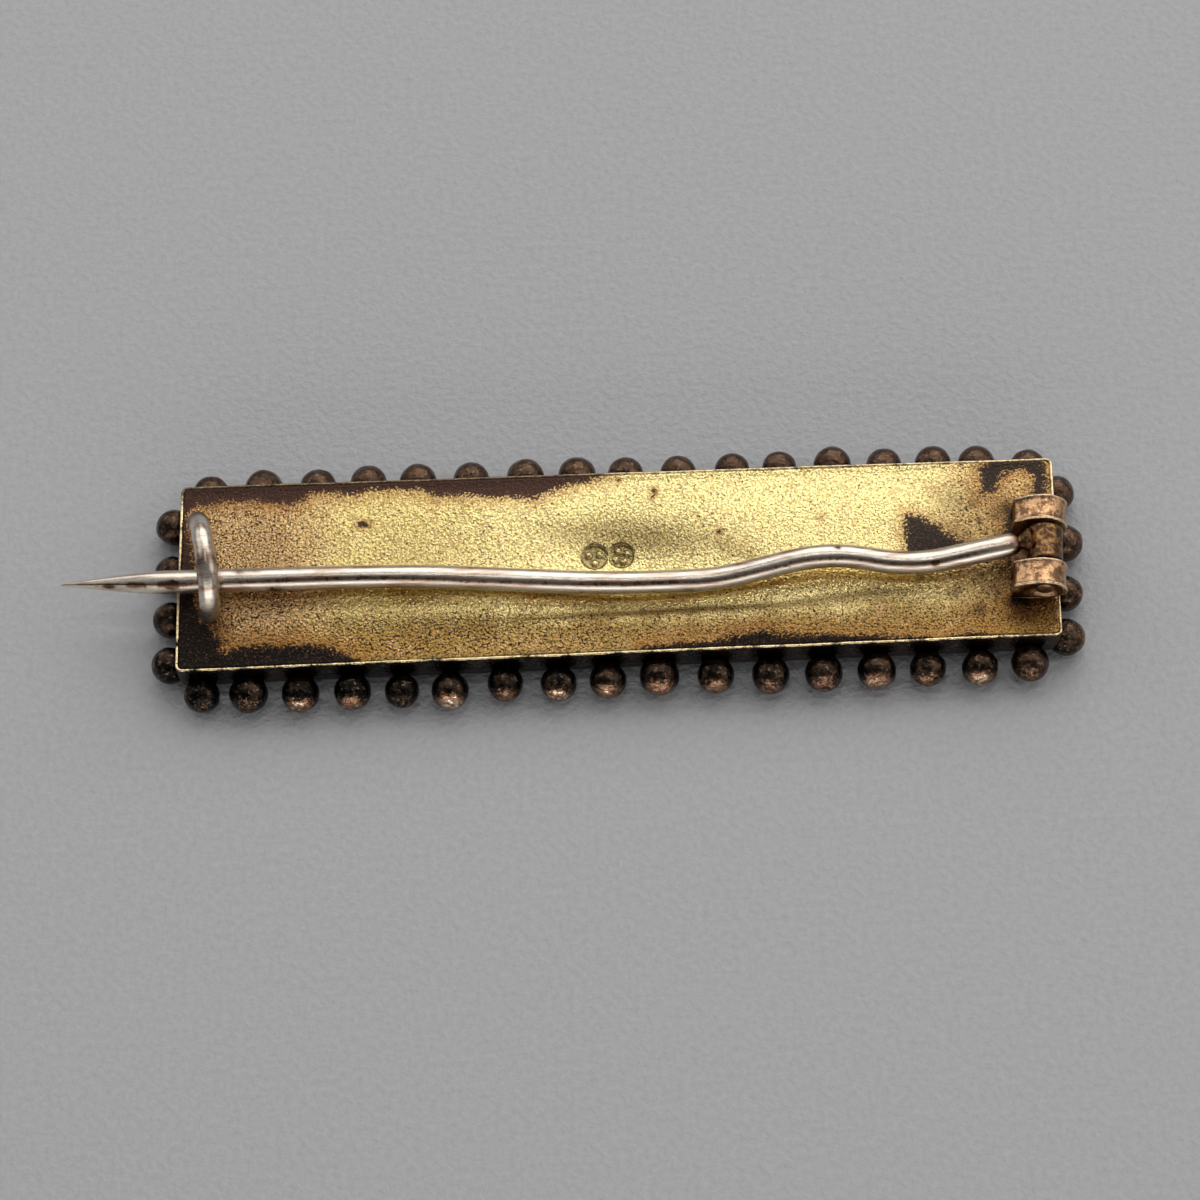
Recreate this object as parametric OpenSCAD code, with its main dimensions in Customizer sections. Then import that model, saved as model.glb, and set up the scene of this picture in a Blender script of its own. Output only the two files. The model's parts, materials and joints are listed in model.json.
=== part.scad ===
// Bar brooch, lying on its face with its back upwards.
// Frame: millimetres, +Z up, the brooch lies on the plane z = 0 on the undersides of its grains.
// The origin is the centre of the case on that plane. +X runs to the hinge end, -X to the catch,
// and +Y is the far long side of the photographed view.

/* [Case] */
// Length of the case over its end walls
case_len = 42; // [38:0.5:48]
// Width of the case at the catch end
case_w_catch = 9.86; // [9.2:0.02:10.6]
// Width of the case at the hinge end, a little less because the bar tapers
case_w_hinge = 9.4; // [9:0.02:9.8]
// Height of the lower edge of the walls over the surface
wall_foot_z = 0.88; // [0.7:0.02:1]
// Height of the rim of the walls over the surface
rim_z = 2.5; // [2.3:0.05:3]
// Thickness of the wall strip
wall_t = 0.22; // [0.18:0.01:0.3]
// Thickness of the front sheet
front_t = 0.5; // [0.3:0.05:0.7]
// Outer radius of the upright corners
corner_r = 0.5; // [0.4:0.05:0.8]

/* [Grains] */
// Radius of one soldered grain
grain_r = 0.915; // [0.85:0.005:0.95]
// Grains along each long side
grains_long = 17; // [11:1:17]
// Grains along each end
grains_end = 4; // [3:1:4]
// Spacing of the grains along a long side
pitch_long = 2.49; // [2.4:0.01:2.5]
// Spacing of the grains along an end
pitch_end = 2.5; // [2.3:0.01:2.5]
// How far the grain centres stand outside the long walls
grain_out_side = 0.63; // [0.5:0.01:0.7]
// How far they stand outside the wall of the catch end
grain_out_catch = 0.52; // [0.4:0.01:0.6]
// How far they stand outside the wall of the hinge end
grain_out_hinge = 0.3; // [0.2:0.01:0.5]

/* [Back plate] */
// Thickness of the back plate
plate_t = 0.4; // [0.3:0.05:0.5]
// How far the plate lies under the rim
plate_sink = 0.08; // [0.04:0.01:0.12]

/* [Hinge] */
// Distance of the hinge axis from the outside of the hinge end wall
axis_in = 0.63; // [0.55:0.01:0.75]
// Height of the hinge axis over the back plate
axis_up = 1.15; // [1.12:0.01:1.2]
// Radius of the outer knuckles
knuckle_r = 1; // [0.96:0.01:1.05]
// Radius of the middle knuckle
pin_knuckle_r = 0.87; // [0.82:0.01:0.9]
// Radius of the rivet
rivet_r = 0.45; // [0.35:0.01:0.48]
// Running clearance round the rivet in the middle knuckle
running_gap = 0.03; // [0.02:0.01:0.05]
// Turn of the hinge out of square with the bar, its near end towards the catch
hinge_turn_deg = 2.8; // [0:0.2:4]

/* [Pin] */
// Radius of the stem wire
stem_r = 0.53; // [0.45:0.01:0.55]
// Straight run of the stem before its filed point
stem_run = 9.9; // [6:0.1:11]
// Length of the filed point
point_len = 4.2; // [3:0.1:6]

/* [Catch] */
// Radius of the hook wire
hook_r = 0.5; // [0.4:0.01:0.55]
// Radius of the hook's curve to the middle of the wire
hook_bend_r = 2.27; // [2.2:0.01:2.5]
// Angle over the plate at which the free end stops
hook_end_deg = 32; // [30:1:45]
// Turn of the hook out of square with the bar
hook_turn_deg = 10; // [0:1:14]
// Lean of the hook towards the hinge
hook_lean_deg = 10; // [0:1:14]

/* [Hidden] */
$fn = 64;

// gap that is left between pieces that touch or are soldered together
seam = 0.02;
// allowance by which a cutter runs past the face that it cuts
past = 1;

half_len = case_len / 2;
corner_steps = 6;
side_slope = (case_w_catch - case_w_hinge) / 2 / case_len;
function half_width(x) = case_w_catch / 2 - side_slope * (x + half_len);

// the rows of grains sit slightly off the middle of their walls
far_row_shift = 0.4;
near_row_shift = -0.33;
catch_row_shift = -0.2;
hinge_row_shift = -0.33;

front_top_z = wall_foot_z + front_t;
plate_top_z = rim_z - plate_sink;
plate_inset = wall_t + seam;

// hinge: where each face lies along the rivet, from the near end to the far end
hinge_x = half_len - axis_in;
hinge_z = plate_top_z + axis_up;
near_knuckle = [-2.95, -1.62];
middle_knuckle = [-1.46, 0.29];
far_knuckle = [0.43, 1.7];
lip_w = 0.12;
lip_h = 0.06;
end_recess_r = 0.78;
end_recess_deep = 0.18;
rivet_short = 0.08;
leaf_t = 0.13;
web_in = 0.28;
end_slope = 0.23;
end_slope_top = 0.1;

// the tail of the rolled knuckle sheet, as [x, z] from the axis: out from the top of the tube,
// over a shoulder and down to the plate
tail_top = [-0.25, 0.955];
tail_crease = [-0.8, 0.85];
tail_shoulder = [-1.4, 0.58];
tail_foot_x = -1.53;

// stem: its plane stands out of the level by stem_plane_deg, and sinks towards the catch
stem_start = [hinge_x - 1.37, -0.57, plate_top_z + 1.43];
stem_offset = 0.08;
stem_plane_deg = 30;
stem_pitch_deg = -0.67;
stem_yaw_deg = 0.1;
stem_heading_deg = -10;
neck_r = 0.46;
neck_len = 1.1;
point_r = 0.05;
wire_sides = 16;
ring_deg = 3;

// each row is one bend of the hand-bent stem, counted from the hinge: the straight run
// before it, its radius, and its angle, positive where the wire turns to the far side
RUN = 0;
RADIUS = 1;
TURN = 2;
stem_bends = [
    [3.2, 9, 22.5],
    [0.3, 9, -24],
    [2.3, 12, 11.6],
    [1.2, 60, 4.8],
    [4.3, 80, -3.9]
];

// hook
hook_x = -19.75;
hook_y = 0.28;
hook_centre_up = 0.42;
hook_foot_deg = 190;
solder_r = 0.62;
solder_h = 0.16;

// The outline of the case moved inwards by inset, its corners rounded in corner_steps flats
module case_outline(inset) {
    r = corner_r - inset;
    polygon([
        for (c = [0:3])
            let (
                end = c == 0 || c == 3 ? 1 : -1,
                side = c < 2 ? 1 : -1,
                middle = [end * (half_len - corner_r), side * (half_width(end * half_len) - corner_r)]
            )
            for (k = [0:corner_steps])
                let (turn = 90 * (c + k / corner_steps))
                middle + r * [cos(turn), sin(turn)]
    ]);
}

module case_prism(inset, low, high) {
    translate([0, 0, low])
        linear_extrude(high - low)
            case_outline(inset);
}

module grain(x, y) {
    translate([x, y, grain_r])
        sphere(grain_r);
}

module grain_rows() {
    for (i = [0:grains_long - 1]) {
        along = pitch_long * (i - (grains_long - 1) / 2);
        far_x = along + far_row_shift;
        near_x = along + near_row_shift;
        grain(far_x, half_width(far_x) + grain_out_side);
        grain(near_x, -half_width(near_x) - grain_out_side);
    }
    for (i = [0:grains_end - 1]) {
        across = pitch_end * (i - (grains_end - 1) / 2);
        grain(-half_len - grain_out_catch, across + catch_row_shift);
        grain(half_len + grain_out_hinge, across + hinge_row_shift);
    }
}

module beaded_case() {
    color("#3b352b") {
        difference() {
            case_prism(0, wall_foot_z, rim_z);
            case_prism(wall_t, front_top_z, rim_z + past);
        }
        grain_rows();
    }
}

module back_plate() {
    color("#c9a94f")
        case_prism(plate_inset, plate_top_z - plate_t, plate_top_z);
}

// Stands what it holds on the hinge axis, which is its Y axis
module on_hinge() {
    translate([hinge_x, 0, hinge_z])
        rotate([0, 0, -hinge_turn_deg])
            children();
}

// A cylinder on the hinge axis over one stretch of it
module barrel(span, r) {
    translate([0, span[0], 0])
        rotate([-90, 0, 0])
            cylinder(h = span[1] - span[0], r = r);
}

// A stretch of the knuckle's tube and of the tail beside it, all larger by grow
module rolled_sheet(span, grow) {
    barrel(span, knuckle_r + grow);
    translate([0, span[1], 0])
        rotate([90, 0, 0])
            linear_extrude(span[1] - span[0])
                polygon([
                    [tail_foot_x - grow, seam - axis_up], tail_shoulder + [-grow, grow],
                    tail_crease + [0, grow], tail_top + [0, grow],
                    [web_in, 0], [web_in, seam - axis_up]
                ]);
}

// One outer knuckle, with a raised lip at each end
module outer_knuckle(span) {
    rolled_sheet(span, 0);
    rolled_sheet([span[0], span[0] + lip_w], lip_h);
    rolled_sheet([span[1] - lip_w, span[1]], lip_h);
}

// What is filed off the near end, so that it slopes in towards the plate
module near_end_slope(low) {
    reach = 2 * knuckle_r;
    translate([-reach, 0, 0])
        rotate([90, 0, 90])
            linear_extrude(2 * reach)
                polygon([
                    [low - past, end_slope_top], [low, end_slope_top],
                    [low + end_slope, -axis_up], [low - past, -axis_up]
                ]);
}

module hinge_bearer() {
    low = near_knuckle[0];
    high = far_knuckle[1];
    color("#b5743f")
        on_hinge()
            difference() {
                union() {
                    outer_knuckle(near_knuckle);
                    outer_knuckle(far_knuckle);
                    translate([tail_foot_x, low, seam - axis_up])
                        cube([web_in - tail_foot_x, high - low, leaf_t - seam]);
                }
                barrel([low - past, high + past], rivet_r + seam);
                barrel([low - past, low + end_recess_deep], end_recess_r);
                barrel([high - end_recess_deep, high + past], end_recess_r);
                near_end_slope(low);
            }
}

module hinge_rivet() {
    color("#7a5236")
        on_hinge()
            barrel([near_knuckle[0] + rivet_short, far_knuckle[1] - rivet_short], rivet_r);
}

// Stands what it holds at the hinge end of the stem, with the wire leaving along -X
module at_stem_start() {
    translate(stem_start)
        rotate([0, 0, stem_yaw_deg])
            rotate([0, stem_pitch_deg, 0])
                rotate([stem_plane_deg, 0, 0])
                    translate([0, stem_offset, 0])
                        rotate([0, 0, -stem_heading_deg])
                            children();
}

module pin_knuckle() {
    color("#8f5f38")
        difference() {
            union() {
                on_hinge()
                    barrel(middle_knuckle, pin_knuckle_r);
                at_stem_start()
                    translate([seam, 0, 0])
                        rotate([0, 90, 0])
                            cylinder(h = neck_len, r = neck_r);
            }
            on_hinge()
                barrel([middle_knuckle[0] - past, middle_knuckle[1] + past], rivet_r + running_gap);
        }
}

// Direction of the wire in its own plane at a heading, 0 being straight along -X
function ahead(h) = [-cos(h), sin(h)];
function aside(h) = [sin(h), cos(h)];

// The stem's centre line from bend i on, as places in its plane with the heading and radius there
function centre_line(i, p, h) =
    i == len(stem_bends)
    ? let (shoulder = p + stem_run * ahead(h))
        [[shoulder, h, stem_r], [shoulder + point_len * ahead(h), h, point_r]]
    : let (
        bend = stem_bends[i],
        arc = sign(bend[TURN]) * bend[RADIUS],
        centre = p + bend[RUN] * ahead(h) + arc * aside(h),
        steps = ceil(abs(bend[TURN]) / ring_deg),
        last = h + bend[TURN]
    )
    concat(
        [for (k = [0:steps])
            let (turned = h + bend[TURN] * k / steps)
            [centre - arc * aside(turned), turned, stem_r]],
        centre_line(i + 1, centre - arc * aside(last), last)
    );

// A round wire swept through rings, each a place in the plane with its heading and radius
module swept_wire(rings) {
    corners = [
        for (ring = rings, j = [0:wire_sides - 1])
            let (a = 360 * j / wire_sides, out = ring[2] * cos(a) * aside(ring[1]))
            [ring[0][0] + out[0], ring[0][1] + out[1], ring[2] * sin(a)]
    ];
    last = len(rings) - 1;
    polyhedron(corners, [
        [for (j = [wire_sides - 1:-1:0]) j],
        [for (j = [0:wire_sides - 1]) last * wire_sides + j],
        for (i = [0:last - 1], j = [0:wire_sides - 1])
            let (k = (j + 1) % wire_sides, low = i * wire_sides, high = low + wire_sides)
            each [[low + j, low + k, high + j], [high + j, low + k, high + k]]
    ]);
}

module pin_stem() {
    start = [[0, 0], 0, stem_r];
    color("#c2b8a6")
        at_stem_start()
            swept_wire(concat([start], centre_line(0, [0, 0], 0)));
}

// The curve of the hook, drawn from its free end over the stem to its foot
module hook_curve() {
    translate([0, 0, hook_centre_up])
        rotate([0, hook_lean_deg, 0])
            rotate([90, 0, 90]) {
                rotate([0, 0, hook_end_deg])
                    rotate_extrude(angle = hook_foot_deg - hook_end_deg)
                        translate([hook_bend_r, 0])
                            circle(hook_r);
                rotate([0, 0, hook_end_deg])
                    translate([hook_bend_r, 0, 0])
                        sphere(hook_r);
            }
}

module catch_hook() {
    block = 10;
    color("#cfc9ba")
        translate([hook_x, hook_y, plate_top_z])
            rotate([0, 0, hook_turn_deg]) {
                difference() {
                    hook_curve();
                    translate([-block / 2, -block / 2, seam - block])
                        cube(block);
                }
                translate([0, -hook_bend_r, seam])
                    cylinder(h = solder_h, r1 = solder_r, r2 = hook_r);
            }
}

beaded_case();
back_plate();
catch_hook();
hinge_bearer();
hinge_rivet();
pin_knuckle();
pin_stem();
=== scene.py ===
import json
import math

import bmesh
import bpy
import numpy as np
from mathutils import Matrix, Vector


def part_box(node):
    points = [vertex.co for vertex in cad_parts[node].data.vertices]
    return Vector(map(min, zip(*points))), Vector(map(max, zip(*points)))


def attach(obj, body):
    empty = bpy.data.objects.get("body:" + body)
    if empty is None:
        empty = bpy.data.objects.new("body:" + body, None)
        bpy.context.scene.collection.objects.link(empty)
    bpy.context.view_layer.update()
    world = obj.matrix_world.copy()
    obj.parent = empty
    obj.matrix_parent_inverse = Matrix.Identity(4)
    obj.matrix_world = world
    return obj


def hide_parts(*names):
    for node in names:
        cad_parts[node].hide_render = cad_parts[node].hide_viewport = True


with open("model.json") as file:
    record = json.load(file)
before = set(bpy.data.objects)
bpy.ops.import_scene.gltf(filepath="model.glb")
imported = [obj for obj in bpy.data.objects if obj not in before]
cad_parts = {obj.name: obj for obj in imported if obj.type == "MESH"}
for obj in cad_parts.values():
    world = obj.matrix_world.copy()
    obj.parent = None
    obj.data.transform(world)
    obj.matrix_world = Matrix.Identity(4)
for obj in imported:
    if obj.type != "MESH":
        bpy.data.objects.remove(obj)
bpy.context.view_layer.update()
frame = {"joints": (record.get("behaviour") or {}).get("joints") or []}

# The case
# A strip of thin brass, bent round the bar and soldered to the edge of the front sheet. Age has turned it
# a dark greenish brown, and handling keeps the upper edge of the strip bright.
MM = 0.001
case_len = 42 * MM
case_w_catch = 9.86 * MM
case_w_hinge = 9.4 * MM
corner_r = 0.34 * MM
wall_t = 0.17 * MM
wall_foot_z = 0.88 * MM
rim_z = 2.5 * MM
front_t = 0.5 * MM
half_len = case_len / 2
corner_steps = 8
side_steps = 60
end_steps = 14


def half_width(x):
    """Half the case's width at x, which gets less towards the hinge."""
    share = (x + half_len) / case_len
    return (case_w_catch + (case_w_hinge - case_w_catch) * share) / 2


def case_outline():
    """Points round the outside of the case, each with the direction that faces out there."""
    turns, middles = [], []
    for c, (end, side) in enumerate(((1, 1), (-1, 1), (-1, -1), (1, -1))):
        middle = Vector((end * (half_len - corner_r), side * (half_width(end * half_len) - corner_r)))
        for k in range(corner_steps + 1):
            turns.append(math.radians(90 * (c + k / corner_steps)))
            middles.append(middle)
    places, outs = [], []
    for i, (turn, middle) in enumerate(zip(turns, middles)):
        out = Vector((math.cos(turn), math.sin(turn)))
        places.append(middle + corner_r * out)
        outs.append(out)
        if (i + 1) % (corner_steps + 1) == 0:
            j = (i + 1) % len(turns)
            nxt = middles[j] + corner_r * Vector((math.cos(turns[j]), math.sin(turns[j])))
            steps = side_steps if (i // (corner_steps + 1)) % 2 == 0 else end_steps
            for k in range(1, steps):
                places.append(places[-1].lerp(nxt, 1 / (steps - k + 1)))
                outs.append(out)
    return np.array(places), np.array(outs)


def loft(rings, closed=False):
    """Points and faces of a skin over rings of equal count, closed on itself or capped at both ends."""
    count = len(rings[0])
    pairs = len(rings) if closed else len(rings) - 1
    faces = []
    for i in range(pairs):
        low, high = i * count, (i + 1) % len(rings) * count
        for j in range(count):
            k = (j + 1) % count
            faces.append((low + j, low + k, high + k, high + j))
    if not closed:
        faces.append(tuple(range(count))[::-1])
        faces.append(tuple(range(pairs * count, (pairs + 1) * count)))
    return [tuple(p) for ring in rings for p in ring], faces


def placed_piece(name, mesh, metal, body):
    """One smooth object for a finished mesh, all in one metal, that rides on its body."""
    mesh.materials.clear()
    mesh.materials.append(metal)
    mesh.polygons.foreach_set("use_smooth", [True] * len(mesh.polygons))
    piece = bpy.data.objects.new(name, mesh)
    bpy.context.scene.collection.objects.link(piece)
    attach(piece, body)
    return piece


def new_piece(name, shells, metal, body):
    """One object made of closed shells, each a pair of points and faces, faced outwards."""
    form = bmesh.new()
    for points, faces in shells:
        corners = [form.verts.new(p) for p in points]
        for face in faces:
            form.faces.new([corners[i] for i in face])
    bmesh.ops.recalc_face_normals(form, faces=form.faces)
    mesh = bpy.data.meshes.new(name)
    form.to_mesh(mesh)
    form.free()
    return placed_piece(name, mesh, metal, body)


def linear(code):
    """The linear colour of an sRGB hex value such as E3C878."""
    parts = [int(code[i:i + 2], 16) / 255 for i in (0, 2, 4)]
    return [p / 12.92 if p <= 0.04045 else ((p + 0.055) / 1.055) ** 2.4 for p in parts] + [1]


def add_node(tree, kind, settings=None, inputs=None):
    """A node with its settings, each input set to a value, or linked from an output or a node's first one."""
    node = tree.nodes.new(kind)
    for name, value in (settings or {}).items():
        setattr(node, name, value)
    for socket, value in (inputs or {}).items():
        if isinstance(value, bpy.types.Node):
            value = next(output for output in value.outputs if output.enabled)
        if isinstance(value, bpy.types.NodeSocket):
            tree.links.new(value, node.inputs[socket])
        else:
            node.inputs[socket].default_value = value
    return node


def new_finish(name):
    """A material, its tree, and coordinates in millimetres, so that a scale counts lumps per millimetre."""
    finish = bpy.data.materials.new(name)
    finish.use_nodes = True
    tree = finish.node_tree
    tree.nodes.clear()
    own = add_node(tree, "ShaderNodeTexCoord")
    in_mm = add_node(tree, "ShaderNodeMapping", {}, {"Vector": own.outputs["Object"], "Scale": (1 / MM,) * 3})
    return finish, tree, in_mm


def lay_over(tree, under, colour, value, low, high, most=1, curve="SMOOTHSTEP"):
    """A colour laid over another: its share grows to most as the value goes from low to high. Gives both."""
    share = add_node(tree, "ShaderNodeMapRange", {"interpolation_type": curve}, {
        "Value": value, "From Min": low, "From Max": high, "To Max": most})
    under, colour = [linear(c) if isinstance(c, str) else c for c in (under, colour)]
    return add_node(tree, "ShaderNodeMix", {"data_type": "RGBA"}, {0: share, 6: under, 7: colour}), share


def set_shader(tree, colour, roughness, relief, strength, depth, metallic=1):
    """The shader that ends a material, with a relief whose depth is in metres."""
    bump = add_node(tree, "ShaderNodeBump", {}, {"Height": relief, "Strength": strength, "Distance": depth})
    shader = add_node(tree, "ShaderNodeBsdfPrincipled", {}, {
        "Base Color": colour, "Metallic": metallic, "Roughness": roughness, "Normal": bump})
    add_node(tree, "ShaderNodeOutputMaterial", {}, {"Surface": shader})


# Brass with its old oxide left on: a black-brown film with a soft shine, painted lighter and browner to the
# far side and darker to the near side as shade, with light specks painted on as glints. It is rubbed to pale
# metal on the rim, and to copper and pale spots where the grains' wear attribute says so; the pale spots are
# partly painted glints.
oxidised_brass, tree, at_mm = new_finish("oxidised_brass")
film, glint_specks, rub_noise, rim_noise = [
    add_node(tree, "ShaderNodeTexNoise", {}, {"Vector": at_mm, "Scale": s, "Detail": d, "Roughness": r})
    for s, d, r in ((1.3, 6, 0.7), (5, 3, 0.6), (4.6, 7, 0.8), (1.3, 6, 0.75))]
# painted light and shade: the film grows lighter and browner towards the far side and darker towards the near
# side
painted_light_to_far = add_node(tree, "ShaderNodeVectorMath", {"operation": "DOT_PRODUCT"}, {
    0: at_mm, 1: (0.003, 0.021, 0)})
film_and_light_level = add_node(tree, "ShaderNodeMath", {"operation": "ADD"}, {0: film, 1: painted_light_to_far})
brass, _ = lay_over(tree, "181715", "5E4839", film_and_light_level, 0.31, 0.63, curve="LINEAR")
# painted glints: light specks over the film
brass, _ = lay_over(tree, brass, "8C7A66", glint_specks, 0.56, 0.66, 0.55)
wear_and_glint = add_node(tree, "ShaderNodeAttribute", {"attribute_name": "wear_and_glint"})
rubbing_and_glint = add_node(tree, "ShaderNodeMath", {"operation": "MULTIPLY_ADD"}, {
    0: wear_and_glint.outputs["Fac"], 1: 0.33, 2: rub_noise})
brass, _ = lay_over(tree, brass, "A67C62", rubbing_and_glint, 0.68, 0.78, 0.8)
# the copper is rubbed metal; the pale spots are partly rubbed metal and partly painted glints
brass, pale_rub_and_glint_share = lay_over(tree, brass, "F4E2C4", rubbing_and_glint, 0.86, 0.89)
where = add_node(tree, "ShaderNodeSeparateXYZ", {}, {"Vector": at_mm})
rim_level = add_node(tree, "ShaderNodeMath", {"operation": "MULTIPLY_ADD"}, {
    0: rim_noise, 1: 0.2, 2: where.outputs["Z"]})
far_rim_kept = add_node(tree, "ShaderNodeMapRange", {"interpolation_type": "SMOOTHSTEP"}, {
    "Value": where.outputs["X"], "From Min": 2, "From Max": -2, "To Min": 0.8, "To Max": 0.15})
rim_kept = add_node(tree, "ShaderNodeMapRange", {"interpolation_type": "SMOOTHSTEP"}, {
    "Value": where.outputs["Y"], "From Min": 4.2, "From Max": 4.5, "To Min": 1, "To Max": far_rim_kept})
brass, rim_share = lay_over(tree, brass, "E8D2A4", rim_level, 2.565, 2.6, rim_kept)
bare_share = add_node(tree, "ShaderNodeMath", {"operation": "MAXIMUM"}, {0: pale_rub_and_glint_share, 1: rim_share})
case_rough = add_node(tree, "ShaderNodeMapRange", {}, {"Value": bare_share, "To Min": 0.22, "To Max": 0.16})
set_shader(tree, brass, case_rough, glint_specks, 1, 0.06 * MM)

# each row is one edge of the bent strip, from the front sheet's underside over the rim to its inside:
# how far it lies in from the wall's face, and its height
strip_rows = [
    (0.16 * MM, wall_foot_z), (0.05 * MM, wall_foot_z + 0.01 * MM), (0, wall_foot_z + 0.06 * MM),
    (-0.01 * MM, 1.5 * MM), (-0.01 * MM, 2.2 * MM), (0, rim_z - 0.06 * MM), (0.015 * MM, rim_z - 0.02 * MM),
    (0.04 * MM, rim_z), (0.1 * MM, rim_z - 0.005 * MM), (wall_t - 0.02 * MM, rim_z - 0.03 * MM),
    (wall_t, rim_z - 0.07 * MM), (wall_t, wall_foot_z + front_t)
]
places, outs = case_outline()
# the strip was bent by hand, so its faces waver a little
lap = np.linspace(0, 2 * math.pi, len(places), endpoint=False)
wobble = (0.009 * np.sin(9 * lap + 0.8) + 0.006 * np.sin(23 * lap + 2.1)) * MM
rings = []
for inset, z in strip_rows:
    ring = places + outs * (wobble - inset)[:, None]
    rings.append(np.column_stack([ring, np.full(len(ring), z)]))
case_walls = new_piece("case_walls", [loft(rings)], oxidised_brass, "case")
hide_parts("beaded_case")

# The grains
# Solid brass balls, melted from wire snippets and soldered one by one round the lower edge of the case, so
# no two are quite alike. The brooch lies on them.
grain_r = 0.915 * MM
grain_uneven = 0.14 * MM
grain_seed = 4
ball_steps = 5
# a grain is worn, and painted with glints, on the side that faces out of its row and a little up, more the
# straighter it faces there
wear_out, wear_up = 0.98, 0.12
wear_from, wear_over = 0.3, 0.55


def new_tree(name, kinds):
    """A Geometry Nodes tree with named inputs of these kinds, their identifiers, and what they give."""
    tree = bpy.data.node_groups.new(name, "GeometryNodeTree")
    sockets = {}
    for title, kind in kinds.items():
        socket = tree.interface.new_socket(name=title, in_out="INPUT", socket_type="NodeSocket" + kind)
        sockets[title] = socket.identifier
    tree.interface.new_socket(name="Geometry", in_out="OUTPUT", socket_type="NodeSocketGeometry")
    return tree, sockets, add_node(tree, "NodeGroupInput").outputs


def grain_tree():
    """A tree that sets a grain on every point, as large as the point's size, each a little uneven."""
    tree, sockets, given = new_tree("grains", {
        "Points": "Geometry", "Radius": "Float", "Unevenness": "Float", "Seed": "Int", "Metal": "Material"})
    ball = add_node(tree, "GeometryNodeMeshIcoSphere", {}, {
        "Radius": given["Radius"], "Subdivisions": ball_steps})
    size = add_node(tree, "GeometryNodeInputNamedAttribute", {"data_type": "FLOAT"}, {"Name": "size"})
    turn = add_node(tree, "FunctionNodeRandomValue", {"data_type": "FLOAT_VECTOR"}, {
        0: (0, 0, 0), 1: (0, 0, 2 * math.pi), "Seed": given["Seed"]})
    grains = add_node(tree, "GeometryNodeInstanceOnPoints", {}, {
        "Points": given["Points"], "Instance": ball, "Rotation": turn, "Scale": size})
    real = add_node(tree, "GeometryNodeRealizeInstances", {}, {"Geometry": grains})
    in_mm = add_node(tree, "ShaderNodeVectorMath", {"operation": "SCALE"}, {
        0: add_node(tree, "GeometryNodeInputPosition"), "Scale": 1 / MM})
    lumps = add_node(tree, "ShaderNodeTexNoise", {}, {"Vector": in_mm, "Scale": 1.1, "Detail": 3})
    inwards = add_node(tree, "ShaderNodeMath", {"operation": "MULTIPLY"}, {0: given["Unevenness"], 1: -0.7})
    pushes = add_node(tree, "ShaderNodeMath", {"operation": "MULTIPLY_ADD"}, {
        0: lumps, 1: given["Unevenness"], 2: inwards})
    push = add_node(tree, "ShaderNodeVectorMath", {"operation": "SCALE"}, {
        0: add_node(tree, "GeometryNodeInputNormal"), "Scale": pushes})
    uneven = add_node(tree, "GeometryNodeSetPosition", {}, {"Geometry": real, "Offset": push})
    smooth = add_node(tree, "GeometryNodeSetShadeSmooth", {}, {"Geometry": uneven})
    cast = add_node(tree, "GeometryNodeSetMaterial", {}, {"Geometry": smooth, "Material": given["Metal"]})
    add_node(tree, "NodeGroupOutput", {}, {"Geometry": cast})
    return tree, sockets


def grown_mesh(tree, sockets, values, source=None):
    """The plain mesh that a tree makes with these inputs, on its own or on a source curve."""
    maker = bpy.data.objects.new("maker", source or bpy.data.meshes.new("maker"))
    bpy.context.scene.collection.objects.link(maker)
    modifier = maker.modifiers.new("grow", "NODES")
    modifier.node_group = tree
    for name, value in values.items():
        modifier[sockets[name]] = value
    bpy.context.view_layer.update()
    ready = maker.evaluated_get(bpy.context.evaluated_depsgraph_get())
    mesh = bpy.data.meshes.new_from_object(ready)
    maker.modifiers.remove(modifier)
    bpy.data.objects.remove(maker)
    return mesh


pitch_long = 2.49 * MM
pitch_end = 2.5 * MM
row_slope = (half_width(half_len) - half_width(-half_len)) / case_len
long_row_out = 0.63 * MM
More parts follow.
